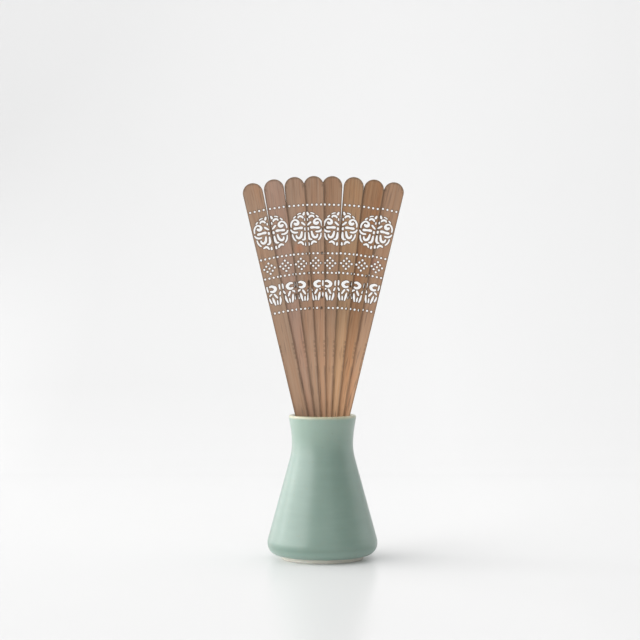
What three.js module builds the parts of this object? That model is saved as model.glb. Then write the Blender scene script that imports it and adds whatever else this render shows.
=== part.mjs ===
// A pierced bamboo brise fan standing open in a flared ceramic vase.
// Millimetres, +Z up. The origin is the centre of the vase's foot, on the table.
import * as THREE from 'three';

// ---------------------------------------------------------------- driving dimensions

// Lean of each slat from the vertical, in degrees, left to right: a hand-spread fan is uneven.
const SLAT_LEANS = [-12.36, -8.58, -4.93, -1.55, 1.73, 5.53, 9.12, 12.66];
const SLAT_COUNT = SLAT_LEANS.length;
// How far each slat is pushed up its own length, because the rivet holes aren't drilled evenly.
const SLAT_RISES = [0, 0, 0, 0, 0, 0.3, 0.4, 1.1];
const SLAT_STEP = THREE.MathUtils.degToRad(3.574); // even step that the pattern was cut for
const PIVOT_HEIGHT = 29.5;
const LAYER_PITCH = 1.0; // front face of one slat to the front face of the next
const SLAT_THICKNESS = 0.7;

const HALF_WIDTH_AT_PIVOT = 2.9;
const TAPER = 0.0162; // half-width gained for each millimetre above the pivot
const TIP_CENTRE = 194.2; // centres of the two round ends, measured up from the pivot
const TAIL_CENTRE = -18.6;

const RIVET_RADIUS = 1.2;
const RIVET_CLEARANCE = 0.08;
const RIVET_SIDES = 16;
const WASHER_RADIUS = 2.5;
const WASHER_THICKNESS = 0.4;
const SEAT_GAP = 0.3; // air left between pieces that lie on each other
const HEAD_HEIGHT = 0.8;
const FRONT_HEAD_RADIUS = 2.1;
const BACK_HEAD_RADIUS = 1.8; // the peened end

const VASE_SIDES = 40;
const RECESS_HEIGHT = 3.0; // of the hollow under the foot
const FLOOR_HEIGHT = 8.0;
const CONE_TOP = 58.0; // where the straight cone passes into the neck
const LIP_EDGE_HEIGHT = 84.8;
const LIP_HEIGHT = 86.5;

// ---------------------------------------------------------------- pierced pattern

// Rows of round holes: height above the pivot, holes in the row and their spacing.
const DOT_RADIUS = 0.66;
const DOT_SIDES = 6;
const DOT_ROWS = [
  { height: 183.1, count: 4, spacing: 2.75 },
  { height: 154.0, count: 4, spacing: 2.6 },
  { height: 142.3, count: 4, spacing: 2.6 },
  { height: 121.2, count: 3, spacing: 2.6 },
];

// A diamond of round holes between the second and third rows.
const DIAMOND_HEIGHT = 148.1;
const DIAMOND_RISE = 1.56;
const DIAMOND_STEP = 1.6;
const DIAMOND_COUNTS = [1, 2, 3, 2, 1];

// A roundel is shared by two slats, and its centre is on the line between them.
// Each opening is a run of [across, up, half-width] points, measured outwards from
// that line and up from the roundel's centre, and scaled to the size that is cut.
const ROUNDEL_HEIGHT = 168.8;
const ROUNDEL_SCALE = 1.045;
const ROUNDEL_HALF = [
  [[1.3, 9.3, 0.45], [1.6, 8.4, 0.6]],
  [[3.3, 9.0, 0.27], [4.9, 8.5, 0.27]],
  [[2.2, 6.3, 0.5], [3.1, 7.1, 0.55], [4.2, 7.2, 0.55], [4.8, 6.6, 0.4]],
  [[6.3, 7.3, 0.35], [7.1, 6.6, 0.4]],
  [[1.0, 5.6, 0.4], [1.0, 5.0, 0.4]],
  [[9.0, 1.5, 0.4], [8.9, 3.2, 0.45], [7.9, 4.8, 0.5], [5.6, 4.9, 0.55], [4.6, 3.8, 0.75], [6.4, 3.1, 0.85]],
  [[1.0, 2.3, 0.45], [2.6, 3.6, 0.55]],
  [[1.1, 0.2, 0.55], [1.1, -0.4, 0.55]],
  [[3.1, 0.7, 0.75], [4.8, 0.6, 0.5], [7.1, 0.5, 0.7]],
  [[5.8, -1.9, 0.5], [8.2, -1.5, 0.55], [9.3, -0.3, 0.35]],
  [[1.2, -2.3, 0.5], [1.3, -5.2, 0.65], [2.5, -6.1, 0.45]],
  [[3.2, -1.8, 0.55], [3.6, -4.2, 0.65], [5.0, -5.0, 0.65], [6.3, -3.7, 0.5]],
  [[8.5, -3.0, 0.4], [8.1, -4.7, 0.45], [6.9, -6.4, 0.4]],
  [[1.1, -8.3, 0.45], [1.1, -9.1, 0.55]],
  [[2.7, -8.7, 0.45], [3.8, -7.5, 0.6], [5.3, -7.8, 0.45]],
];

// The scrolled band, drawn as runs for a slat that holds a roundel's right half and mirrored
// for its neighbour. Heights are from the band's middle.
const BAND_HEIGHT = 131.7;
const BAND_STRETCH = 1.06; // applied to the heights only
const BAND_OPENINGS = [
  [[2.2, 5.3, 0.5], [0.3, 5.0, 0.62], [-0.9, 3.8, 0.72], [0.2, 2.4, 0.65], [2.1, 2.6, 0.5]],
  [[-3.6, 5.3, 0.45], [-3.5, 3.2, 0.45]],
  [[3.9, 5.3, 0.42], [3.8, 2.8, 0.42]],
  [[-3.6, 1.5, 0.45], [-2.9, 0.1, 0.5]],
  [[0.3, 0.6, 0.5], [-0.9, -1.5, 0.5]],
  [[2.1, 0.9, 0.45], [3.3, 0.2, 0.5]],
  [[1.8, -1.2, 0.4], [1.5, -2.8, 0.65], [1.0, -5.2, 0.4]],
  [[-2.7, -1.5, 0.4], [-2.5, -3.2, 0.6], [-1.9, -5.2, 0.4]],
  [[-0.6, -3.2, 0.4], [-0.4, -5.0, 0.45]],
  [[3.7, -1.4, 0.4], [3.2, -3.8, 0.5]],
];

// ---------------------------------------------------------------- openings

// A many-sided hole standing in for a round one.
function roundHole(x, y, radius, sides) {
  const points = [];
  for (let k = 0; k < sides; k += 1) {
    const angle = (2 * Math.PI * k) / sides;
    points.push(new THREE.Vector2(x + radius * Math.cos(angle), y + radius * Math.sin(angle)));
  }
  return points;
}

// The outline of a brush-like stroke: both sides of the run, with a blunt point at each end.
function strokeHole(run) {
  const centres = run.map(([x, y]) => new THREE.Vector2(x, y));
  const left = [];
  const right = [];
  const last = run.length - 1;
  run.forEach(([, , halfWidth], k) => {
    const before = centres[Math.max(k - 1, 0)];
    const after = centres[Math.min(k + 1, last)];
    const along = after.clone().sub(before).normalize();
    const aside = new THREE.Vector2(-along.y, along.x).multiplyScalar(halfWidth);
    left.push(centres[k].clone().add(aside));
    right.unshift(centres[k].clone().sub(aside));
  });
  const startPoint = endPoint(centres[1], centres[0], run[0][2]);
  const finishPoint = endPoint(centres[last - 1], centres[last], run[last][2]);
  return [startPoint, ...left, finishPoint, ...right];
}

// The point one half-width past the end of a stroke.
function endPoint(inner, end, halfWidth) {
  const along = end.clone().sub(inner).normalize();
  return end.clone().add(along.multiplyScalar(halfWidth));
}

function mirrored(run) {
  return run.map(([x, y, halfWidth]) => [-x, y, halfWidth]);
}

function scaled(run, factor) {
  return run.map((values) => values.map((value) => value * factor));
}

function stretched(run, factor) {
  return run.map(([x, y, halfWidth]) => [x, y * factor, halfWidth]);
}

function raised(run, height) {
  return run.map(([x, y, halfWidth]) => [x, y + height, halfWidth]);
}

// Turns points about the pivot, clockwise as seen from the front.
function turned(points, angle) {
  return points.map((point) => point.clone().rotateAround(new THREE.Vector2(0, 0), -angle));
}

function dotOpenings() {
  const dots = [];
  for (const { height, count, spacing } of DOT_ROWS) {
    for (let k = 0; k < count; k += 1) {
      dots.push([(k - (count - 1) / 2) * spacing, height]);
    }
  }
  DIAMOND_COUNTS.forEach((count, row) => {
    const height = DIAMOND_HEIGHT + (row - (DIAMOND_COUNTS.length - 1) / 2) * DIAMOND_RISE;
    for (let k = 0; k < count; k += 1) {
      dots.push([(k - (count - 1) / 2) * 2 * DIAMOND_STEP, height]);
    }
  });
  return dots.map(([x, y]) => roundHole(x, y, DOT_RADIUS, DOT_SIDES));
}

// side is as for roundelOpenings.
function bandOpenings(side) {
  return BAND_OPENINGS.map((run) => {
    const facing = side > 0 ? mirrored(run) : run;
    return strokeHole(raised(stretched(facing, BAND_STRETCH), BAND_HEIGHT));
  });
}

// side is +1 where the roundel's centre is past the slat's right edge, -1 for its left edge.
function roundelOpenings(side) {
  return ROUNDEL_HALF.map((run) => {
    const facing = scaled(side > 0 ? mirrored(run) : run, ROUNDEL_SCALE);
    return turned(strokeHole(raised(facing, ROUNDEL_HEIGHT)), (side * SLAT_STEP) / 2);
  });
}

// ---------------------------------------------------------------- slats

function halfWidthAt(height) {
  return HALF_WIDTH_AT_PIVOT + TAPER * height;
}

// A long taper with a round end at the top and at the bottom.
function slatOutline() {
  const lean = Math.atan(TAPER);
  const shape = new THREE.Shape();
  shape.absarc(0, TIP_CENTRE, halfWidthAt(TIP_CENTRE), -lean, Math.PI + lean, false);
  shape.absarc(0, TAIL_CENTRE, halfWidthAt(TAIL_CENTRE), Math.PI + lean, 2 * Math.PI - lean, false);
  shape.closePath();
  return shape;
}

function slatGeometry(roundelSide, rise) {
  const shape = slatOutline();
  const openings = [
    roundHole(0, -rise, RIVET_RADIUS + RIVET_CLEARANCE, RIVET_SIDES),
    ...dotOpenings(),
    ...roundelOpenings(roundelSide),
    ...bandOpenings(roundelSide),
  ];
  shape.holes = openings.map((points) => new THREE.Path(points));
  const geometry = new THREE.ExtrudeGeometry(shape, {
    depth: SLAT_THICKNESS,
    bevelEnabled: false,
    curveSegments: 6,
  });
  geometry.translate(0, rise, -SLAT_THICKNESS / 2);
  geometry.rotateX(Math.PI / 2);
  return geometry;
}

function layerOffset(number) {
  return (number - (SLAT_COUNT + 1) / 2) * LAYER_PITCH;
}

// Slat 1 is the left-hand one and lies in front; odd slats hold a roundel's left half.
function makeSlat(number) {
  const roundelSide = number % 2 === 1 ? 1 : -1;
  const slat = new THREE.Mesh(slatGeometry(roundelSide, SLAT_RISES[number - 1]), bamboo());
  slat.name = `slat_${number}`;
  slat.position.y = layerOffset(number);
  slat.rotation.y = THREE.MathUtils.degToRad(SLAT_LEANS[number - 1]);
  return slat;
}

// ---------------------------------------------------------------- rivet

// A turned piece whose axis is the rivet's, along Y. Its profile is [radius, distance] pairs.
function turnedPiece(profile, name) {
  const points = profile.map(([radius, distance]) => new THREE.Vector2(radius, distance));
  const geometry = new THREE.LatheGeometry(points, RIVET_SIDES);
  const piece = new THREE.Mesh(geometry, brass());
  piece.name = name;
  return piece;
}

// Distance from the middle of the stack to a washer's inner face.
const WASHER_SEAT = layerOffset(SLAT_COUNT) + SLAT_THICKNESS / 2 + SEAT_GAP;
const HEAD_SEAT = WASHER_SEAT + WASHER_THICKNESS + SEAT_GAP;

// A head's profile from its rim to its crown.
function headProfile(radius, sign) {
  return [
    [radius, sign * HEAD_SEAT],
    [radius * 0.8, sign * (HEAD_SEAT + HEAD_HEIGHT * 0.7)],
    [0, sign * (HEAD_SEAT + HEAD_HEIGHT)],
  ];
}

// One pin with a domed head in front and the peened end behind.
function makeRivetPin() {
  return turnedPiece([
    ...headProfile(FRONT_HEAD_RADIUS, -1).reverse(),
    [RIVET_RADIUS, -HEAD_SEAT],
    [RIVET_RADIUS, HEAD_SEAT],
    ...headProfile(BACK_HEAD_RADIUS, 1),
  ], 'rivet_pin');
}

function makeWasher(name, sign) {
  const bore = RIVET_RADIUS + RIVET_CLEARANCE;
  const near = WASHER_SEAT;
  const far = WASHER_SEAT + WASHER_THICKNESS;
  const [low, high] = sign > 0 ? [near, far] : [-far, -near];
  return turnedPiece([
    [bore, low],
    [WASHER_RADIUS, low],
    [WASHER_RADIUS, high],
    [bore, high],
    [bore, low],
  ], name);
}

// ---------------------------------------------------------------- vase

// Outside: foot ring, rounded belly corner, straight cone, hollow neck and flared lip.
function outerProfile() {
  const belly = new THREE.CubicBezierCurve(
    new THREE.Vector2(26.8, 2.4),
    new THREE.Vector2(31.0, 2.9),
    new THREE.Vector2(34.0, 6.6),
    new THREE.Vector2(32.9, 11.6),
  );
  const neck = new THREE.CubicBezierCurve(
    new THREE.Vector2(20.2, CONE_TOP),
    new THREE.Vector2(18.5, 64.4),
    new THREE.Vector2(17.2, 68.8),
    new THREE.Vector2(20.3, LIP_EDGE_HEIGHT),
  );
  return [...belly.getPoints(5), ...neck.getPoints(5)];
}

// Inside, from the lip down: throat, sloping wall, rounded floor corner, floor.
function innerProfile() {
  const throat = new THREE.CubicBezierCurve(
    new THREE.Vector2(17.1, LIP_EDGE_HEIGHT),
    new THREE.Vector2(14.6, 69.5),
    new THREE.Vector2(15.6, 64.0),
    new THREE.Vector2(17.2, CONE_TOP),
  );
  const floorCorner = new THREE.QuadraticBezierCurve(
    new THREE.Vector2(28.6, 14.0),
    new THREE.Vector2(30.0, FLOOR_HEIGHT),
    new THREE.Vector2(24.5, FLOOR_HEIGHT),
  );
  return [...throat.getPoints(4), ...floorCorner.getPoints(3)];
}

function makeVase() {
  const recess = [[0, RECESS_HEIGHT], [20.6, RECESS_HEIGHT], [21.4, 0.0]];
  const footRing = [[24.4, 0.0], [24.9, 2.2]];
  const lip = [[19.6, LIP_HEIGHT], [17.7, LIP_HEIGHT]];
  const asPoints = (pairs) => pairs.map(([radius, height]) => new THREE.Vector2(radius, height));
  const profile = [
    ...asPoints(recess),
    ...asPoints(footRing),
    ...outerProfile(),
    ...asPoints(lip),
    ...innerProfile(),
    new THREE.Vector2(0, FLOOR_HEIGHT),
  ];
  const geometry = new THREE.LatheGeometry(profile, VASE_SIDES);
  geometry.rotateX(Math.PI / 2);
  const vase = new THREE.Mesh(geometry, celadon());
  vase.name = 'vase_body';
  return vase;
}

// ---------------------------------------------------------------- materials

function bamboo() {
  return new THREE.MeshStandardMaterial({ color: 0xa38066, roughness: 0.6, metalness: 0 });
}

function brass() {
  return new THREE.MeshStandardMaterial({ color: 0xb08d4f, roughness: 0.35, metalness: 1 });
}

function celadon() {
  return new THREE.MeshStandardMaterial({ color: 0x9dbcad, roughness: 0.3, metalness: 0 });
}

// ---------------------------------------------------------------- assembly

const fan = new THREE.Group();
fan.position.z = PIVOT_HEIGHT;
for (let number = 1; number <= SLAT_COUNT; number += 1) {
  fan.add(makeSlat(number));
}
fan.add(makeRivetPin());
fan.add(makeWasher('rivet_washer_front', -1));
fan.add(makeWasher('rivet_washer_back', 1));

const object = new THREE.Group();
object.add(makeVase());
object.add(fan);

export default object;
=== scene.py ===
"""Looks of a pierced bamboo fan that stands open in a small celadon vase.

Lengths at the top are millimetres, as in the CAD model; MM turns them into Blender's metres.
"""
import math

import bmesh
import bpy
import numpy as np
from mathutils import Matrix, Vector
from mathutils.geometry import delaunay_2d_cdt


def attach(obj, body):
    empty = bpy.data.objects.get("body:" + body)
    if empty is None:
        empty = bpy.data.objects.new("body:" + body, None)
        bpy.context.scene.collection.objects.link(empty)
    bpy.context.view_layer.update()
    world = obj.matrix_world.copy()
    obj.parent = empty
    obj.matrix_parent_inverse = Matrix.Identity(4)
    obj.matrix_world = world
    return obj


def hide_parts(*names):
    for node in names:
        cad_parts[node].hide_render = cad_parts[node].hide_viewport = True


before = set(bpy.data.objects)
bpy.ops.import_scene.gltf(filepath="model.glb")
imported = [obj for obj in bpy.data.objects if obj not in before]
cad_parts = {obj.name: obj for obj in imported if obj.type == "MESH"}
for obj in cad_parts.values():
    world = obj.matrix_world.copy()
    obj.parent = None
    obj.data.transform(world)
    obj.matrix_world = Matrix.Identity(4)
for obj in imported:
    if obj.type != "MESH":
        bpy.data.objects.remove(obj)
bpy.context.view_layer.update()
MM = 0.001

# ------------------------------------------------------------------ driving dimensions

SLAT_LEANS = [-12.36, -8.58, -4.93, -1.55, 1.73, 5.53, 9.12, 12.66]
SLAT_RISES = [0.0, 0.0, 0.0, 0.0, 0.0, 0.3, 0.4, 1.1]  # unevenly drilled rivet holes
SLAT_STEP = math.radians(3.574)  # even step that the pattern was cut for
PIVOT_HEIGHT = 29.5
LAYER_PITCH = 1.0
SLAT_THICKNESS = 0.7
HALF_WIDTH_AT_PIVOT = 2.9
TAPER = 0.0162
TIP_CENTRE = 194.2
TAIL_CENTRE = -18.6
SLAT_HOLE_RADIUS = 1.28
EDGE_ROUNDING = 0.07  # how far the slats' edges are eased
SCORCH_REACH = 0.65  # how far the laser's browning reaches from a cut edge
SLAT_BEND = math.radians(38)  # a slat's mesh is shaded smooth across anything flatter than this
TURNED_BEND = math.radians(50)  # the same for the turned pieces

# Spacing of the points that a slat's faces are divided by: fine among the openings.
FINE_HEIGHTS = (116.5, 186.0)
FINE_SPACING = 0.55
SPARSE_SPACING_UP = 2.6
SPARSE_SPACING_ACROSS = 1.3
POINT_SHAKE = 0.06

# ------------------------------------------------------------------ pierced pattern

DOT_RADIUS = 0.62
DOT_ROWS = [(183.1, 4, 2.75), (154.0, 4, 2.6), (142.3, 4, 2.6), (121.2, 3, 2.6)]  # height, holes, spacing
DIAMOND_HEIGHT = 148.1
DIAMOND_RISE = 1.56
DIAMOND_STEP = 1.6
DIAMOND_COUNTS = [1, 2, 3, 2, 1]

# Half a roundel: runs of (across, up, half-width), outwards from the seam between two slats.
ROUNDEL_HEIGHT = 168.8
ROUNDEL_SCALE = 1.045
ROUNDEL_HALF = [
    [(1.2, 9.3, 0.5), (1.6, 8.3, 0.68)],
    [(3.2, 9.05, 0.3), (4.1, 8.9, 0.33), (5.0, 8.4, 0.3)],
    [(2.1, 6.5, 0.5), (2.6, 7.1, 0.58), (3.6, 7.4, 0.58), (4.5, 7.2, 0.5), (4.8, 6.6, 0.42)],
    [(6.3, 7.35, 0.35), (7.2, 6.55, 0.42)],
    [(1.0, 5.8, 0.36), (1.0, 5.0, 0.42)],
    [(9.0, 1.5, 0.38), (9.05, 2.6, 0.46), (8.7, 3.8, 0.5), (7.9, 4.9, 0.5), (6.8, 5.45, 0.5),
     (5.6, 5.1, 0.55), (4.9, 4.2, 0.7), (5.1, 3.2, 0.85), (6.2, 2.9, 0.88), (6.9, 3.3, 0.7)],
    [(0.9, 2.2, 0.42), (1.8, 2.9, 0.55), (2.7, 3.7, 0.55)],
    [(1.1, 0.3, 0.6), (1.1, -0.4, 0.6)],
    [(3.0, 0.7, 0.75), (4.0, 0.72, 0.72), (5.0, 0.6, 0.55), (6.1, 0.5, 0.68), (7.2, 0.4, 0.72)],
    [(5.6, -1.75, 0.45), (7.0, -1.85, 0.55), (8.4, -1.35, 0.55), (9.3, -0.2, 0.36)],
    [(1.1, -2.2, 0.45), (1.15, -3.6, 0.62), (1.3, -5.0, 0.7), (1.9, -5.95, 0.6), (2.9, -6.1, 0.4)],
    [(3.1, -1.7, 0.5), (3.35, -3.1, 0.65), (3.9, -4.5, 0.72), (5.0, -5.1, 0.68), (6.0, -4.6, 0.6),
     (6.3, -3.6, 0.48)],
    [(8.5, -3.0, 0.38), (8.2, -4.4, 0.46), (7.6, -5.6, 0.46), (6.8, -6.5, 0.4)],
    [(1.0, -8.1, 0.45), (1.1, -9.1, 0.6)],
    [(2.6, -8.8, 0.45), (3.1, -7.9, 0.6), (4.1, -7.4, 0.62), (5.4, -7.9, 0.42)],
]

# The scrolled band, for a slat that holds a roundel's right half; its neighbour's is mirrored.
BAND_HEIGHT = 131.7
BAND_STRETCH = 1.06  # applied to the heights only
BAND_OPENINGS = [
    [(2.3, 5.2, 0.52), (1.3, 5.4, 0.66), (0.3, 5.0, 0.78), (-0.6, 4.4, 0.9), (-0.85, 3.7, 0.94),
     (-0.5, 2.9, 0.88), (0.3, 2.4, 0.76), (1.3, 2.25, 0.66), (2.2, 2.6, 0.52)],
    [(-3.6, 5.35, 0.46), (-3.5, 4.3, 0.5), (-3.5, 3.1, 0.42)],
    [(3.9, 5.35, 0.42), (3.95, 4.2, 0.48), (3.8, 2.8, 0.42)],
    [(-3.7, 1.5, 0.42), (-3.2, 0.9, 0.52), (-2.8, 0.1, 0.48)],
    [(0.4, 0.6, 0.5), (-0.2, -0.3, 0.62), (-0.9, -1.5, 0.5)],
    [(2.0, 0.95, 0.42), (2.7, 0.7, 0.52), (3.3, 0.2, 0.48)],
    [(1.9, -1.1, 0.34), (1.7, -2.0, 0.56), (1.5, -3.2, 0.68), (1.0, -5.3, 0.36)],
    [(-2.7, -1.4, 0.34), (-2.65, -2.5, 0.56), (-2.4, -3.7, 0.6), (-1.8, -5.3, 0.36)],
    [(-0.6, -3.1, 0.38), (-0.45, -4.1, 0.48), (-0.4, -5.1, 0.42)],
    [(3.8, -1.3, 0.34), (3.6, -2.6, 0.52), (3.1, -3.9, 0.44)],
]


# ------------------------------------------------------------------ outlines (2D, millimetres)

def smooth_run(run, steps):
    """Points along a Catmull-Rom curve through a run of equal-length tuples."""
    pts = np.array(run, float)
    last = len(pts) - 1
    if last < 2:
        blend = np.linspace(0.0, 1.0, steps + 1)[:, None]
        return pts[0] * (1 - blend) + pts[-1] * blend
    out = []
    for k in range(last):
        a, b, c, d = (pts[min(max(k + o, 0), last)] for o in (-1, 0, 1, 2))
        for t in np.linspace(0.0, 1.0, steps, endpoint=False):
            out.append(0.5 * (2 * b + (c - a) * t + (2 * a - 5 * b + 4 * c - d) * t * t
                              + (3 * b - a - 3 * c + d) * t ** 3))
    out.append(pts[-1])
    return np.array(out)


def circle(x, y, radius, sides):
    angles = np.arange(sides) * (2 * math.pi / sides)
    return np.stack([x + radius * np.cos(angles), y + radius * np.sin(angles)], 1)


def stroke(run, steps=3, cap_steps=4):
    """The outline of a brush-like stroke, with round ends."""
    path = smooth_run(run, steps)
    centres, widths = path[:, :2], path[:, 2]
    along = np.gradient(centres, axis=0)
    along /= np.linalg.norm(along, axis=1)[:, None]
    aside = np.stack([-along[:, 1], along[:, 0]], 1)
    left = centres + aside * widths[:, None]
    right = centres - aside * widths[:, None]

    def cap(centre, from_side, radius, forward):
        turns = np.linspace(0.0, math.pi, cap_steps + 1)[1:-1]
        return [centre + radius * (from_side * math.cos(a) + forward * math.sin(a)) for a in turns]

    finish = cap(centres[-1], aside[-1], widths[-1], along[-1])
    start = cap(centres[0], -aside[0], widths[0], -along[0])
    return np.array([*left, *finish, *right[::-1], *start])


def placed(points, height=0.0, mirror=False, turn=0.0):
    """Outline moved up, mirrored across the centre line, then turned clockwise about the pivot."""
    out = np.array(points, float)
    out[:, 1] += height
    if mirror:
        out[:, 0] *= -1
        out = out[::-1]
    cos, sin = math.cos(turn), math.sin(turn)
    return np.stack([out[:, 0] * cos + out[:, 1] * sin, out[:, 1] * cos - out[:, 0] * sin], 1)


def dot_openings():
    dots = []
    for height, count, spacing in DOT_ROWS:
        dots += [((k - (count - 1) / 2) * spacing, height) for k in range(count)]
    for row, count in enumerate(DIAMOND_COUNTS):
        height = DIAMOND_HEIGHT + (row - (len(DIAMOND_COUNTS) - 1) / 2) * DIAMOND_RISE
        dots += [((k - (count - 1) / 2) * 2 * DIAMOND_STEP, height) for k in range(count)]
    return [circle(x, y, DOT_RADIUS, 14) for x, y in dots]


def roundel_openings(side):
    """side is +1 where the roundel's centre is past the slat's right edge, and -1 for its left."""
    turn = side * SLAT_STEP / 2
    return [placed(stroke(run) * ROUNDEL_SCALE, ROUNDEL_HEIGHT, mirror=side > 0, turn=turn)
            for run in ROUNDEL_HALF]


def band_openings(side):
    """side is as for roundel_openings."""
    out = []
    for run in BAND_OPENINGS:
        outline = stroke([(x, y * BAND_STRETCH, half) for x, y, half in run])
        out.append(placed(outline, BAND_HEIGHT, mirror=side > 0))
    return out


def half_width(height):
    return HALF_WIDTH_AT_PIVOT + TAPER * height


def slat_outline():
    """A long taper with round ends, with points along its edges for the triangles to use."""
    lean = math.atan(TAPER)

    def arc(centre, start, stop, steps):
        radius = half_width(centre)
        return [(radius * math.cos(a), centre + radius * math.sin(a))
                for a in np.linspace(start, stop, steps + 1)]

    def edge(side, heights):
        return [(side * half_width(h), h) for h in heights]

    heights = np.linspace(TAIL_CENTRE, TIP_CENTRE, 72)[1:-1]
    tip = arc(TIP_CENTRE, -lean, math.pi + lean, 26)
    tail = arc(TAIL_CENTRE, math.pi + lean, 2 * math.pi - lean, 14)
    return np.array(tip + edge(-1, heights[::-1]) + tail + edge(1, heights))


# ------------------------------------------------------------------ slat mesh

def inset(loop, distance):
    """Moves a closed outline to its left by a distance. Counter-clockwise loops shrink."""
    before = np.roll(loop, 1, axis=0)
    after = np.roll(loop, -1, axis=0)
    along = after - before
    along /= np.maximum(np.linalg.norm(along, axis=1), 1e-9)[:, None]
    return loop + np.stack([-along[:, 1], along[:, 0]], 1) * distance


def signed_area(loop):
    nxt = np.roll(loop, -1, axis=0)
    return 0.5 * float(np.sum(loop[:, 0] * nxt[:, 1] - nxt[:, 0] * loop[:, 1]))


def is_inside(points, loop):
    """Even-odd test of many points against one closed outline."""
    x, y = points[:, 0][:, None], points[:, 1][:, None]
    x1, y1 = loop[:, 0][None], loop[:, 1][None]
    x2, y2 = np.roll(loop, -1, axis=0)[:, 0][None], np.roll(loop, -1, axis=0)[:, 1][None]
    spans = (y1 > y) != (y2 > y)
    rise = np.where(y2 == y1, 1e-12, y2 - y1)
    crossing = x < (x2 - x1) * (y - y1) / rise + x1
    return (np.sum(spans & crossing, axis=1) % 2) == 1


def distance_to(points, loop):
    """Distance from each point to the nearest of the loop's segments."""
    start = loop[None]
    run = np.roll(loop, -1, axis=0)[None] - start
    rel = points[:, None] - start
    along = np.clip((rel * run).sum(2) / np.maximum((run ** 2).sum(2), 1e-12), 0, 1)
    return np.linalg.norm(rel - run * along[..., None], axis=2).min(1)


def near_box(points, loop, reach):
    low, high = loop.min(0) - reach, loop.max(0) + reach
    return np.all((points > low) & (points < high), axis=1)


def fill_points(outline, holes, rng):
    """Points inside the slat: close together among the openings, sparse elsewhere."""
    low, high = FINE_HEIGHTS
    fine = [(x, y) for y in np.arange(low, high, FINE_SPACING)
            for x in np.arange(-6.0, 6.0, FINE_SPACING)]
    sparse = [(x, y) for y in np.arange(-20.0, 200.0, SPARSE_SPACING_UP)
              for x in np.arange(-5.2, 5.3, SPARSE_SPACING_ACROSS)
              if not low - 0.5 < y < high + 0.5]
    pts = np.array(fine + sparse)
    pts += rng.uniform(-POINT_SHAKE, POINT_SHAKE, pts.shape)
    keep = is_inside(pts, outline) & (distance_to(pts, outline) > 0.3)
    pts = pts[keep]
    for hole in holes:
        close = near_box(pts, hole, 0.3)
        local = pts[close]
        bad = is_inside(local, hole) | (distance_to(local, hole) < 0.2)
        pts = np.delete(pts, np.flatnonzero(close)[bad], axis=0)
    return pts


def slat_loops(side, rise):
    """The slat's outline, its rivet hole and then its pattern, with the bamboo on each one's left."""
    pattern = dot_openings() + roundel_openings(side) + band_openings(side)
    holes = [circle(0, -rise, SLAT_HOLE_RADIUS, 32)] + pattern
    return [slat_outline()] + [h[::-1] if signed_area(h) > 0 else h for h in holes]


def face_triangles(rims, inner):
    """A face's points and triangles, and the number that each of the rims' points was given."""
    sources, edges = [], []
    for rim in rims:
        base = len(sources)
        sources += [Vector(p) for p in rim]
        edges += [(base + k, base + (k + 1) % len(rim)) for k in range(len(rim))]
    sources += [Vector(p) for p in inner]
    made = delaunay_2d_cdt(sources, edges, [], 0, 1e-5)
    points = np.array([tuple(v) for v in made[0]])
    tris = np.array([f for f in made[2] if len(f) == 3])
    centres = points[tris].mean(1)
    keep = is_inside(centres, rims[0])
    for rim in rims[1:]:
        close = near_box(centres, rim, 0.0) & keep
        keep[np.flatnonzero(close)[is_inside(centres[close], rim)]] = False
    number = {source: new for new, merged in enumerate(made[3]) for source in merged}
    return points, tris[keep], number


def face_scorch(points, loops):
    """How browned a face's points are: 1 at a cut edge, and 0 past the laser's reach."""
    far = np.full(len(points), 9.0)
    outline, _, *pattern = loops
    for loop in pattern:
        close = near_box(points, loop, SCORCH_REACH * 2)
        far[close] = np.minimum(far[close], distance_to(points[close], loop))
    # Along the outline this browning is also painted shade: the thin dark lines in the gaps between
    # overlapping slats.
    far = np.minimum(far, distance_to(points, outline) * 1.15)
    return np.clip(1 - far / SCORCH_REACH, 0, 1)


def clean(mesh):
    """Drops points that no face uses, and turns every face outwards."""
    build = bmesh.new()
    build.from_mesh(mesh)
    loose = [v for v in build.verts if not v.link_faces]
    bmesh.ops.delete(build, geom=loose, context="VERTS")
    bmesh.ops.recalc_face_normals(build, faces=build.faces)
    build.to_mesh(mesh)
    build.free()


def shade_smooth(mesh, bend):
    mesh.polygons.foreach_set("use_smooth", [True] * len(mesh.polygons))
    mesh.set_sharp_from_angle(angle=bend)


def slat_mesh(name, side, rise, rng):
    """Both faces, the cut walls and eased edges of one slat, in its own upright frame."""
    loops = slat_loops(side, rise)
    rims = [inset(loop, EDGE_ROUNDING) for loop in loops]
    inner = fill_points(rims[0], rims[1:], rng)
    points, tris, number = face_triangles(rims, inner)

    half = SLAT_THICKNESS / 2
    wall = half - EDGE_ROUNDING
    count = len(points)
    coords = [(x, -half, z) for x, z in points] + [(x, half, z) for x, z in points]
    faces = [tuple(int(i) for i in t) for t in tris]
    faces += [tuple(int(i) + count for i in t[::-1]) for t in tris]
    scorch_and_seam_shade = list(face_scorch(points, loops)) * 2
    used = 0
    for loop in loops:
        base = len(coords)
        size = len(loop)
        coords += [(x, -wall, z) for x, z in loop] + [(x, wall, z) for x, z in loop]
        scorch_and_seam_shade += [1.0] * (2 * size)
        for k in range(size):
            nxt = (k + 1) % size
            a, b = number[used + k], number[used + nxt]
            low, low_next = base + k, base + nxt
            high, high_next = low + size, low_next + size
            faces += [(b, a, low, low_next), (low_next, low, high, high_next),
                      (high_next, high, a + count, b + count)]
        used += size

    mesh = bpy.data.meshes.new(name)
    mesh.from_pydata([tuple(c * MM for c in co) for co in coords], [], faces)
    mesh.update()
    browning = mesh.attributes.new("scorch_and_seam_shade", "FLOAT", "POINT")
    browning.data.foreach_set("value", np.array(scorch_and_seam_shade, np.float32))
    own_place = mesh.attributes.new("own_place", "FLOAT_VECTOR", "POINT")
    own_place.data.foreach_set("vector", np.array(coords, np.float32).ravel() * MM)
    clean(mesh)
    shade_smooth(mesh, SLAT_BEND)
    return mesh


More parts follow.
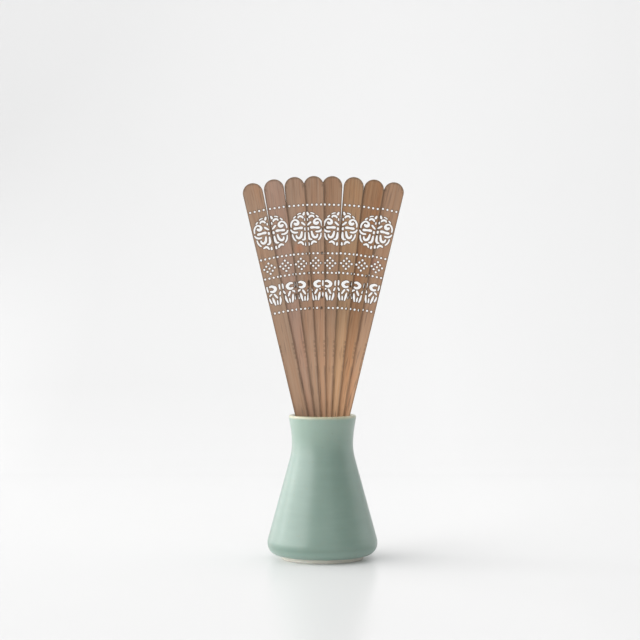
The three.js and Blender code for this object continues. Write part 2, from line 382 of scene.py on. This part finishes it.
# ------------------------------------------------------------------ material helpers

class Nodes:
    """A short way to build one material's node tree."""

    def __init__(self, name):
        self.material = bpy.data.materials.new(name)
        self.material.use_nodes = True
        self.tree = self.material.node_tree
        self.shader = self.tree.nodes["Principled BSDF"]

    def add(self, kind, **settings):
        node = self.tree.nodes.new(kind)
        for key, value in settings.items():
            setattr(node, key, value)
        return node

    def link(self, source, target):
        self.tree.links.new(source, target)

    def set(self, socket, value):
        if isinstance(value, bpy.types.NodeSocket):
            self.link(value, socket)
        else:
            socket.default_value = value

    def mapped(self, vector, scale, shift):
        mapping = self.add("ShaderNodeMapping")
        mapping.inputs["Scale"].default_value = scale
        mapping.inputs["Location"].default_value = shift
        self.link(vector, mapping.inputs["Vector"])
        return mapping.outputs["Vector"]

    def object_coords(self, scale=(1, 1, 1), shift=(0, 0, 0)):
        return self.mapped(self.add("ShaderNodeTexCoord").outputs["Object"], scale, shift)

    def slat_coords(self, scale=(1, 1, 1), shift=(0, 0, 0)):
        """Places in the slat's own upright frame, so that the grain follows the slat."""
        own = self.add("ShaderNodeAttribute", attribute_name="own_place")
        return self.mapped(own.outputs["Vector"], scale, shift)

    def noise(self, vector, scale, detail, rough=0.5):
        node = self.add("ShaderNodeTexNoise")
        self.link(vector, node.inputs["Vector"])
        node.inputs["Scale"].default_value = scale
        node.inputs["Detail"].default_value = detail
        node.inputs["Roughness"].default_value = rough
        return node.outputs["Fac"]

    def ramp(self, value, stops):
        node = self.add("ShaderNodeValToRGB")
        self.set(node.inputs["Fac"], value)
        elements = node.color_ramp.elements
        while len(elements) < len(stops):
            elements.new(0.5)
        for element, (place, colour) in zip(elements, stops):
            element.position = place
            element.color = (*colour, 1.0)
        return node.outputs["Color"]

    def grey(self, value, low, high, out_low=0.0, out_high=1.0):
        node = self.add("ShaderNodeMapRange", clamp=True)
        self.set(node.inputs["Value"], value)
        node.inputs["From Min"].default_value = low
        node.inputs["From Max"].default_value = high
        node.inputs["To Min"].default_value = out_low
        node.inputs["To Max"].default_value = out_high
        return node.outputs["Result"]

    def math(self, operation, a, b):
        node = self.add("ShaderNodeMath", operation=operation)
        self.set(node.inputs[0], a)
        self.set(node.inputs[1], b)
        return node.outputs["Value"]

    def mix(self, factor, a, b, blend="MIX"):
        node = self.add("ShaderNodeMix", data_type="RGBA", blend_type=blend)
        self.set(node.inputs["Factor"], factor)
        for socket, value in ((node.inputs[6], a), (node.inputs[7], b)):
            if isinstance(value, tuple):
                value = (*value, 1.0)
            self.set(socket, value)
        return node.outputs[2]

    def height(self, coords):
        node = self.add("ShaderNodeSeparateXYZ")
        self.link(coords, node.inputs["Vector"])
        return node.outputs["Z"]

    def bump(self, height, strength, distance, normal=None):
        node = self.add("ShaderNodeBump")
        node.inputs["Strength"].default_value = strength
        node.inputs["Distance"].default_value = distance
        self.link(height, node.inputs["Height"])
        if normal is not None:
            self.link(normal, node.inputs["Normal"])
        return node.outputs["Normal"]

    def attribute(self, name):
        return self.add("ShaderNodeAttribute", attribute_name=name).outputs["Fac"]


def linear(red, green, blue):
    """0 to 255 screen colour to Blender's linear colour."""
    def one(value):
        value /= 255
        return value / 12.92 if value <= 0.04045 else ((value + 0.055) / 1.055) ** 2.4
    return tuple(one(v) for v in (red, green, blue))


# ------------------------------------------------------------------ materials

# Each slat's own bamboo: mean colour, how strong its streaks are, and how much its colour is brightened
# toward the fan's lower end.
# That brightening is painted light, cancelling the shade that neighbouring slats and the vase's mouth
# cast on the narrow strips there; the heights below, in metres, are where it starts and is full.
SLAT_TINTS = [
    ((160, 134, 113), 0.9, 1.15), ((160, 132, 115), 0.9, 1.40), ((156, 130, 110), 1.1, 1.60),
    ((156, 128, 106), 1.0, 1.95), ((152, 123, 99), 1.2, 2.25), ((157, 127, 98), 1.0, 2.35),
    ((150, 116, 86), 1.2, 2.35), ((161, 131, 107), 0.9, 2.20),
]
PAINTED_LIFT_HEIGHTS = (0.122, 0.040)
# Painted light: the tone that the brightened lower end of each slat is moved toward.
PAINTED_LIFT_TINT = (158, 124, 97)
SCORCH_BROWN = (106, 86, 68)
# Darkest at the very edge: soot from the laser, and along the slat's outline also painted shade for the
# gaps between slats.
SOOT_AND_SEAM_SHADE = (56, 42, 33)

# Warm stains in the bamboo: slat number, (across, up) and radius in millimetres, and colour.
SLAT_STAINS = {
    3: ((-0.6, 157.5), 4.2, (172, 112, 80)),
    7: ((-2.2, 140.0), 4.5, (158, 104, 66)),
    8: ((-3.2, 149.0), 6.0, (172, 118, 100)),
}


def scaled(colour, *factors):
    return tuple(c * f for c, f in zip(colour, factors))


def bamboo_grain(m, base, pale, streak, broad, patch):
    """The mean colour, streaked along the slat and clouded with warmer and cooler patches."""
    deep = scaled(base, 0.70, 0.64, 0.58)
    colour = m.ramp(m.grey(broad, 0.30, 0.72), [(0.0, deep), (0.45, base), (1.0, pale)])
    colour = m.mix(1.0 - 0.55 * streak, colour, base)
    colour = m.mix(m.grey(patch, 0.50, 0.74, 0.0, 0.75), colour, scaled(base, 1.10, 0.93, 0.80))
    return m.mix(m.grey(patch, 0.46, 0.28, 0.0, 0.7), colour, scaled(base, 0.90, 0.97, 1.02))


def bamboo_stain(m, colour, broad, place, radius, stain):
    """A soft-edged stain at a place on the slat."""
    across, up = place
    gap = m.add("ShaderNodeVectorMath", operation="DISTANCE")
    m.link(m.slat_coords(), gap.inputs[0])
    gap.inputs[1].default_value = (across * MM, 0.0, up * MM)
    soft = m.math("ADD", gap.outputs["Value"], m.math("MULTIPLY", broad, 0.002))
    inside = m.grey(soft, (radius + 1.0) * MM, 0.3 * radius * MM, 0.0, 0.62)
    return m.mix(inside, colour, linear(*stain))


def bamboo(number):
    """Steamed brown bamboo: long fibres, darker vein bundles, browned cut edges, satin skin; the
    outline's edges are also painted shade between slats, and the lower end gets painted light.
    """
    tint, streak, painted_lift_strength = SLAT_TINTS[number - 1]
    m = Nodes(f"bamboo_{number}")
    base = linear(*tint)
    pale = tuple(min(1.0, c * 1.22) for c in base)
    shift = (number * 0.037, number * 0.011, number * 0.29)
    broad = m.noise(m.slat_coords((1, 1, 0.035), shift), 430.0, 3.0, 0.55)
    fibre = m.noise(m.slat_coords((1, 1, 0.014), shift), 2300.0, 2.0, 0.6)
    patch = m.noise(m.slat_coords((1, 1, 0.45), shift), 55.0, 3.0)
    bundles = m.noise(m.slat_coords((1, 1, 0.05), shift), 1500.0, 1.0)
    # Painted light: this mask rises toward the fan's lower end, where the colour is moved to a common
    # tone and brightened to cancel the shade that neighbouring slats and the vase's mouth cast on the
    # narrow strips.
    painted_lift_mask = m.grey(m.height(m.slat_coords()), *PAINTED_LIFT_HEIGHTS)

    colour = bamboo_grain(m, base, pale, streak, broad, patch)
    colour = m.mix(m.math("MULTIPLY", painted_lift_mask, 0.6), colour, linear(*PAINTED_LIFT_TINT))
    colour = m.mix(painted_lift_mask, colour, (painted_lift_strength, painted_lift_strength, painted_lift_strength), "MULTIPLY")
    colour = m.mix(m.grey(fibre, 0.35, 0.70, 0.0, 0.5), colour, pale, "SOFT_LIGHT")
    if number in SLAT_STAINS:
        colour = bamboo_stain(m, colour, broad, *SLAT_STAINS[number])
    vein = m.grey(bundles, 0.58, 0.70, 0.0, 0.62)
    colour = m.mix(vein, colour, scaled(base, 0.55, 0.55, 0.55))

    # The edge browning is weaker toward the fan's lower end, where the painted light brightens the
    # colour.
    scorch_and_seam_shade = m.math("MULTIPLY", m.attribute("scorch_and_seam_shade"), m.grey(painted_lift_mask, 0.0, 1.0, 1.0, 0.6))
    ragged = m.math("MULTIPLY", scorch_and_seam_shade, m.grey(fibre, 0.2, 0.8, 0.75, 1.15))
    colour = m.mix(m.grey(ragged, 0.05, 0.75, 0.0, 0.82), colour, linear(*SCORCH_BROWN))
    # The soot at the very edge is partly painted shade along the outline, for the gaps between slats.
    colour = m.mix(m.grey(ragged, 0.90, 1.0, 0.0, 0.7), colour, linear(*SOOT_AND_SEAM_SHADE))
    m.set(m.shader.inputs["Base Color"], colour)

    rough = m.grey(fibre, 0.3, 0.7, 0.46, 0.62)
    rough = m.math("ADD", rough, m.math("MULTIPLY", scorch_and_seam_shade, 0.15))
    m.set(m.shader.inputs["Roughness"], rough)
    normal = m.bump(fibre, 0.35, 0.00012)
    normal = m.bump(broad, 0.30, 0.0003, normal)
    m.set(m.shader.inputs["Normal"], normal)
    m.shader.inputs["Specular IOR Level"].default_value = 0.35
    return m.material


def painted_throat_shade(m, height):
    """1 inside the neck, where the glaze is darkened as painted shade for the shadow inside the vase's
    mouth. The outside is wider than this radius at every height.
    """
    radius = m.add("ShaderNodeVectorMath", operation="LENGTH")
    m.link(m.object_coords((1, 1, 0)), radius.inputs[0])
    inside = m.grey(radius.outputs["Value"], 0.0180, 0.0172)
    return m.math("MULTIPLY", inside, m.grey(height, 0.058, 0.060))


def celadon():
    """Celadon glaze over pale stoneware, thin and creamy on the lip, stopping above a bare foot."""
    m = Nodes("celadon_glaze")
    height = m.height(m.object_coords())
    cloud = m.noise(m.object_coords(), 38.0, 4.0, 0.55)
    fine = m.noise(m.object_coords(), 900.0, 2.0)
    rings = m.noise(m.object_coords((0.15, 0.15, 1.0)), 240.0, 2.0)
    glaze = m.mix(m.grey(cloud, 0.32, 0.68), linear(113, 137, 125), linear(121, 144, 133))
    glaze = m.mix(m.grey(rings, 0.40, 0.65, 0.0, 0.30), glaze, linear(109, 132, 121))
    # Painted light: the glaze is paler toward the bottom of the belly, lifting the shade where its curve
    # turns under.
    glaze = m.mix(m.grey(height, 0.0080, 0.0035), glaze, linear(142, 167, 156))
    # Lighter up the neck: partly thinner glaze, and partly painted light for the upward-facing flare.
    glaze = m.mix(m.grey(height, 0.060, 0.080, 0.0, 0.45), glaze, linear(158, 178, 164))
    wobble = m.math("MULTIPLY", cloud, 0.0016)
    lip = m.grey(m.math("ADD", height, wobble), 0.0852, 0.0868, 0.0, 0.9)
    glaze = m.mix(lip, glaze, linear(182, 178, 148))
    clay = m.mix(m.grey(cloud, 0.35, 0.65), linear(218, 215, 203), linear(228, 225, 215))
    # Painted shade: the glaze inside the neck is darkened for the shadow inside the mouth.
    glaze = m.mix(painted_throat_shade(m, height), glaze, linear(84, 88, 78))
    foot = m.grey(m.math("ADD", height, wobble), 0.0034, 0.0029)
    colour = m.mix(foot, glaze, clay)
    speck = m.grey(m.noise(m.object_coords(), 620.0, 0.0), 0.765, 0.79, 0.0, 0.25)
    speck = m.math("MULTIPLY", speck, m.grey(foot, 1.0, 0.0))
    colour = m.mix(speck, colour, linear(120, 132, 112))
    m.set(m.shader.inputs["Base Color"], colour)

    m.set(m.shader.inputs["Roughness"], m.grey(foot, 0.0, 1.0, 0.40, 0.85))
    m.set(m.shader.inputs["Coat Weight"], m.grey(foot, 0.0, 1.0, 0.5, 0.0))
    m.shader.inputs["Coat Roughness"].default_value = 0.28
    m.shader.inputs["Specular IOR Level"].default_value = 0.5
    m.shader.inputs["Subsurface Weight"].default_value = 0.08
    m.shader.inputs["Subsurface Scale"].default_value = 0.002
    normal = m.bump(rings, 0.10, 0.0006)
    normal = m.bump(cloud, 0.08, 0.0012, normal)
    normal = m.bump(fine, 0.05, 0.0001, normal)
    m.set(m.shader.inputs["Normal"], normal)
    return m.material


def brass():
    """Dulled turned brass with fine scratches and darker tarnish in patches."""
    m = Nodes("rivet_brass")
    tarnish = m.noise(m.object_coords(), 700.0, 4.0, 0.6)
    scratch = m.noise(m.object_coords((1, 1, 0.1)), 5000.0, 2.0, 0.6)
    colour = m.ramp(tarnish, [(0.35, linear(128, 98, 56)), (0.6, linear(184, 150, 92))])
    m.set(m.shader.inputs["Base Color"], colour)
    m.shader.inputs["Metallic"].default_value = 1.0
    m.set(m.shader.inputs["Roughness"], m.grey(tarnish, 0.3, 0.7, 0.52, 0.28))
    m.set(m.shader.inputs["Normal"], m.bump(scratch, 0.25, 0.00005))
    return m.material


# ------------------------------------------------------------------ pieces

def new_object(name, mesh, material):
    """Puts a mesh in the scene with its material."""
    obj = bpy.data.objects.new(name, mesh)
    bpy.context.scene.collection.objects.link(obj)
    obj.data.materials.append(material)
    return obj


def make_slat(number):
    rng = np.random.default_rng(100 + number)
    side = 1 if number % 2 == 1 else -1
    rise = SLAT_RISES[number - 1]
    mesh = slat_mesh(f"bamboo_slat_{number}", side, rise, rng)
    layer = (number - (len(SLAT_LEANS) + 1) / 2) * LAYER_PITCH
    place = Matrix.Translation((0, layer * MM, PIVOT_HEIGHT * MM))
    lean = Matrix.Rotation(math.radians(SLAT_LEANS[number - 1]), 4, "Y")
    mesh.transform(place @ lean @ Matrix.Translation((0, 0, rise * MM)))
    slat = new_object(f"bamboo_slat_{number}", mesh, bamboo(number))
    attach(slat, f"slat_{number}_body")
    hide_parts(f"slat_{number}")


def lathe(name, profile, sides, axis="Z"):
    """A closed turned mesh from (radius, height) pairs that start and end on the axis or close."""
    mesh = bpy.data.meshes.new(name)
    build = bmesh.new()
    rings = []
    for radius, height in profile:
        if radius < 1e-6:
            rings.append([build.verts.new((0, 0, height * MM))])
            continue
        angles = [2 * math.pi * k / sides for k in range(sides)]
        rings.append([build.verts.new((radius * MM * math.cos(a), radius * MM * math.sin(a),
                                       height * MM)) for a in angles])
    pairs = list(zip(rings, rings[1:]))
    if len(rings[0]) > 1:
        pairs.append((rings[-1], rings[0]))
    for low, high in pairs:
        for k in range(sides):
            corners = [low[k % len(low)], low[(k + 1) % len(low)],
                       high[(k + 1) % len(high)], high[k % len(high)]]
            corners = list(dict.fromkeys(corners))
            if len(corners) > 2:
                build.faces.new(corners)
    bmesh.ops.recalc_face_normals(build, faces=build.faces)
    if axis == "Y":
        bmesh.ops.rotate(build, verts=build.verts, cent=(0, 0, 0),
                         matrix=Matrix.Rotation(-math.pi / 2, 3, "X"))
    build.to_mesh(mesh)
    build.free()
    shade_smooth(mesh, TURNED_BEND)
    return mesh


def bezier(start, pull_a, pull_b, end, steps):
    """Points along a cubic Bezier curve, with both of its ends."""
    start, pull_a, pull_b, end = (np.array(p, float) for p in (start, pull_a, pull_b, end))
    out = []
    for t in np.linspace(0.0, 1.0, steps + 1):
        out.append((1 - t) ** 3 * start + 3 * (1 - t) ** 2 * t * pull_a
                   + 3 * (1 - t) * t * t * pull_b + t ** 3 * end)
    return [tuple(p) for p in out]


def vase_profile():
    """From the middle of the underside, out and up the outside, over the lip and down inside."""
    under = [(0, 3.0), (10, 3.0), (19.6, 3.0)]
    under += bezier((19.6, 3.0), (20.8, 2.9), (20.9, 0.5), (21.9, 0.15), 8)[1:]
    ring = bezier((21.9, 0.15), (22.3, 0.0), (22.6, 0.0), (23.0, 0.0), 3)[1:]
    ring += bezier((23.6, 0.0), (24.3, 0.0), (24.5, 0.3), (24.6, 0.9), 5)
    ring += [(24.7, 1.5)]
    step = bezier((24.8, 2.0), (24.9, 2.5), (25.8, 2.6), (26.8, 2.5), 6)
    belly = bezier((26.8, 2.5), (31.0, 2.9), (33.85, 6.6), (32.9, 11.6), 22)[1:]
    cone = [(32.9 + (20.2 - 32.9) * t, 11.6 + (58.0 - 11.6) * t)
            for t in np.linspace(0, 1, 15)[1:-1]]
    neck = bezier((20.2, 58.0), (18.5, 64.4), (17.2, 68.8), (20.2, 84.8), 26)
    lip = bezier((20.2, 84.8), (20.4, 86.2), (19.6, 86.5), (18.8, 86.48), 8)[1:]
    lip += bezier((18.8, 86.48), (18.0, 86.45), (17.2, 86.0), (17.1, 84.8), 8)[1:]
    throat = bezier((17.1, 84.8), (14.6, 69.5), (15.6, 64.0), (17.2, 58.0), 24)[1:]
    wall = [(17.2 + (28.6 - 17.2) * t, 58.0 + (14.0 - 58.0) * t)
            for t in np.linspace(0, 1, 13)[1:-1]]
    corner = bezier((28.6, 14.0), (29.5, 10.0), (28.2, 8.0), (24.5, 8.0), 10)
    return under + ring + step + belly + cone + neck + lip + throat + wall + corner + [(0, 8.0)]


def make_vase():
    mesh = lathe("celadon_vase", vase_profile(), 144)
    vase = new_object("celadon_vase", mesh, celadon())
    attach(vase, "vase")
    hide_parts("vase_body")


def rivet_profiles():
    """The pin with its two heads, and the two washers, as (radius, distance) along the rivet."""
    washer_seat = 3.5 * LAYER_PITCH + SLAT_THICKNESS / 2 + 0.3
    head_seat = washer_seat + 0.4 + 0.3

    def head(sign, radius):
        dome = [(radius * math.cos(a), sign * (head_seat + 0.12 + 0.66 * math.sin(a)))
                for a in np.linspace(0, math.pi / 2, 9)]
        dome[-1] = (0.0, dome[-1][1])
        return [(radius, sign * head_seat), *dome]

    front = head(-1, 2.05)[::-1]
    back = head(1, 1.75)
    pin = front + [(1.2, -head_seat), (1.2, head_seat)] + back

    def washer(sign):
        near, far = sign * washer_seat, sign * (washer_seat + 0.4)
        ease = sign * 0.08
        return [(1.28, near), (2.42, near), (2.5, near + ease), (2.5, far - ease), (2.42, far),
                (1.36, far), (1.28, far - ease)]

    return {"rivet_pin": pin, "rivet_washer_front": washer(-1), "rivet_washer_back": washer(1)}


def make_rivet():
    finish = brass()
    for node, profile in rivet_profiles().items():
        mesh = lathe(f"brass_{node}", profile, 48, axis="Y")
        mesh.transform(Matrix.Translation((0, 0, PIVOT_HEIGHT * MM)))
        piece = new_object(f"brass_{node}", mesh, finish)
        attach(piece, "fan_pin")
        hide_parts(node)


# ------------------------------------------------------------------ studio

# The sweep, in metres: where the floor begins and starts to rise, the bend's radius, top, width.
SWEEP_FRONT = -1.6
SWEEP_START = 0.5
SWEEP_BEND = 1.1
SWEEP_TOP = 2.6
SWEEP_HALF_WIDTH = 2.4
CAMERA_PLACE = (-0.0015, -1.2, 0.170)
CAMERA_TARGET = (-0.0015, 0.0, 0.1434)

def studio_floor():
    """A pale floor that turns up into a backdrop behind the object."""
    m = Nodes("studio_white")
    place = m.add("ShaderNodeSeparateXYZ")
    m.link(m.object_coords(), place.inputs["Vector"])
    side = m.grey(place.outputs["X"], -0.25, 0.12)
    depth = m.grey(place.outputs["Y"], 0.85, 1.55)
    floor = m.mix(side, (0.70, 0.70, 0.70), (0.85, 0.85, 0.85))
    m.set(m.shader.inputs["Base Color"], m.mix(depth, floor, (0.88, 0.88, 0.88)))
    m.shader.inputs["Roughness"].default_value = 0.22
    m.shader.inputs["Specular IOR Level"].default_value = 0.04
    profile = [(SWEEP_FRONT, 0.0), (SWEEP_START, 0.0)]
    profile += [(SWEEP_START + SWEEP_BEND * math.sin(a), SWEEP_BEND - SWEEP_BEND * math.cos(a))
                for a in np.linspace(0, math.pi / 2, 33)[1:]]
    profile += [(SWEEP_START + SWEEP_BEND, SWEEP_TOP)]
    mesh = bpy.data.meshes.new("studio_sweep")
    verts = [(x, y, z) for y, z in profile for x in (-SWEEP_HALF_WIDTH, SWEEP_HALF_WIDTH)]
    faces = [(2 * k, 2 * k + 1, 2 * k + 3, 2 * k + 2) for k in range(len(profile) - 1)]
    mesh.from_pydata(verts, [], faces)
    mesh.polygons.foreach_set("use_smooth", [True] * len(mesh.polygons))
    new_object("studio_sweep", mesh, m.material)


def aim_at(thing, place, target):
    """Puts a camera or a light at a place, facing a target."""
    thing.location = place
    thing.rotation_euler = (Vector(target) - Vector(place)).to_track_quat("-Z", "Y").to_euler()
    bpy.context.scene.collection.objects.link(thing)


def area_light(name, place, target, size, power, size_y=None):
    data = bpy.data.lights.new(name, "AREA")
    data.shape = "RECTANGLE"
    data.size = size
    data.size_y = size_y or size
    data.energy = power
    aim_at(bpy.data.objects.new(name, data), place, target)


def light_studio():
    area_light("window", (-1.05, -0.35, 0.50), (0, 0, 0.10), 1.8, 18.0, size_y=1.0)
    area_light("window_behind", (-0.85, 0.50, 0.40), (0, 0, 0.10), 0.9, 5.0, size_y=0.9)
    area_light("front", (0.10, -1.6, 0.8), (0, 0, 0.12), 1.8, 5.0)
    area_light("right_wall", (1.0, 0.30, 0.35), (0, 0, 0.07), 0.7, 1.3)
    area_light("backdrop", (0.5, 0.5, 1.7), (0.4, 1.5, 0.5), 2.0, 9.2)
    world = bpy.data.worlds.new("studio_air")
    world.use_nodes = True
    air = world.node_tree.nodes["Background"]
    air.inputs["Color"].default_value = (1, 1, 1, 1)
    air.inputs["Strength"].default_value = 0.43
    bpy.context.scene.world = world


def place_camera():
    data = bpy.data.cameras.new("camera")
    data.lens = 112.5
    data.sensor_width = 36.0
    camera = bpy.data.objects.new("camera", data)
    aim_at(camera, CAMERA_PLACE, CAMERA_TARGET)
    bpy.context.scene.camera = camera


bpy.context.scene.view_settings.view_transform = "Standard"
place_camera()
studio_floor()
light_studio()
make_vase()
for slat_number in range(1, len(SLAT_LEANS) + 1):
    make_slat(slat_number)
make_rivet()
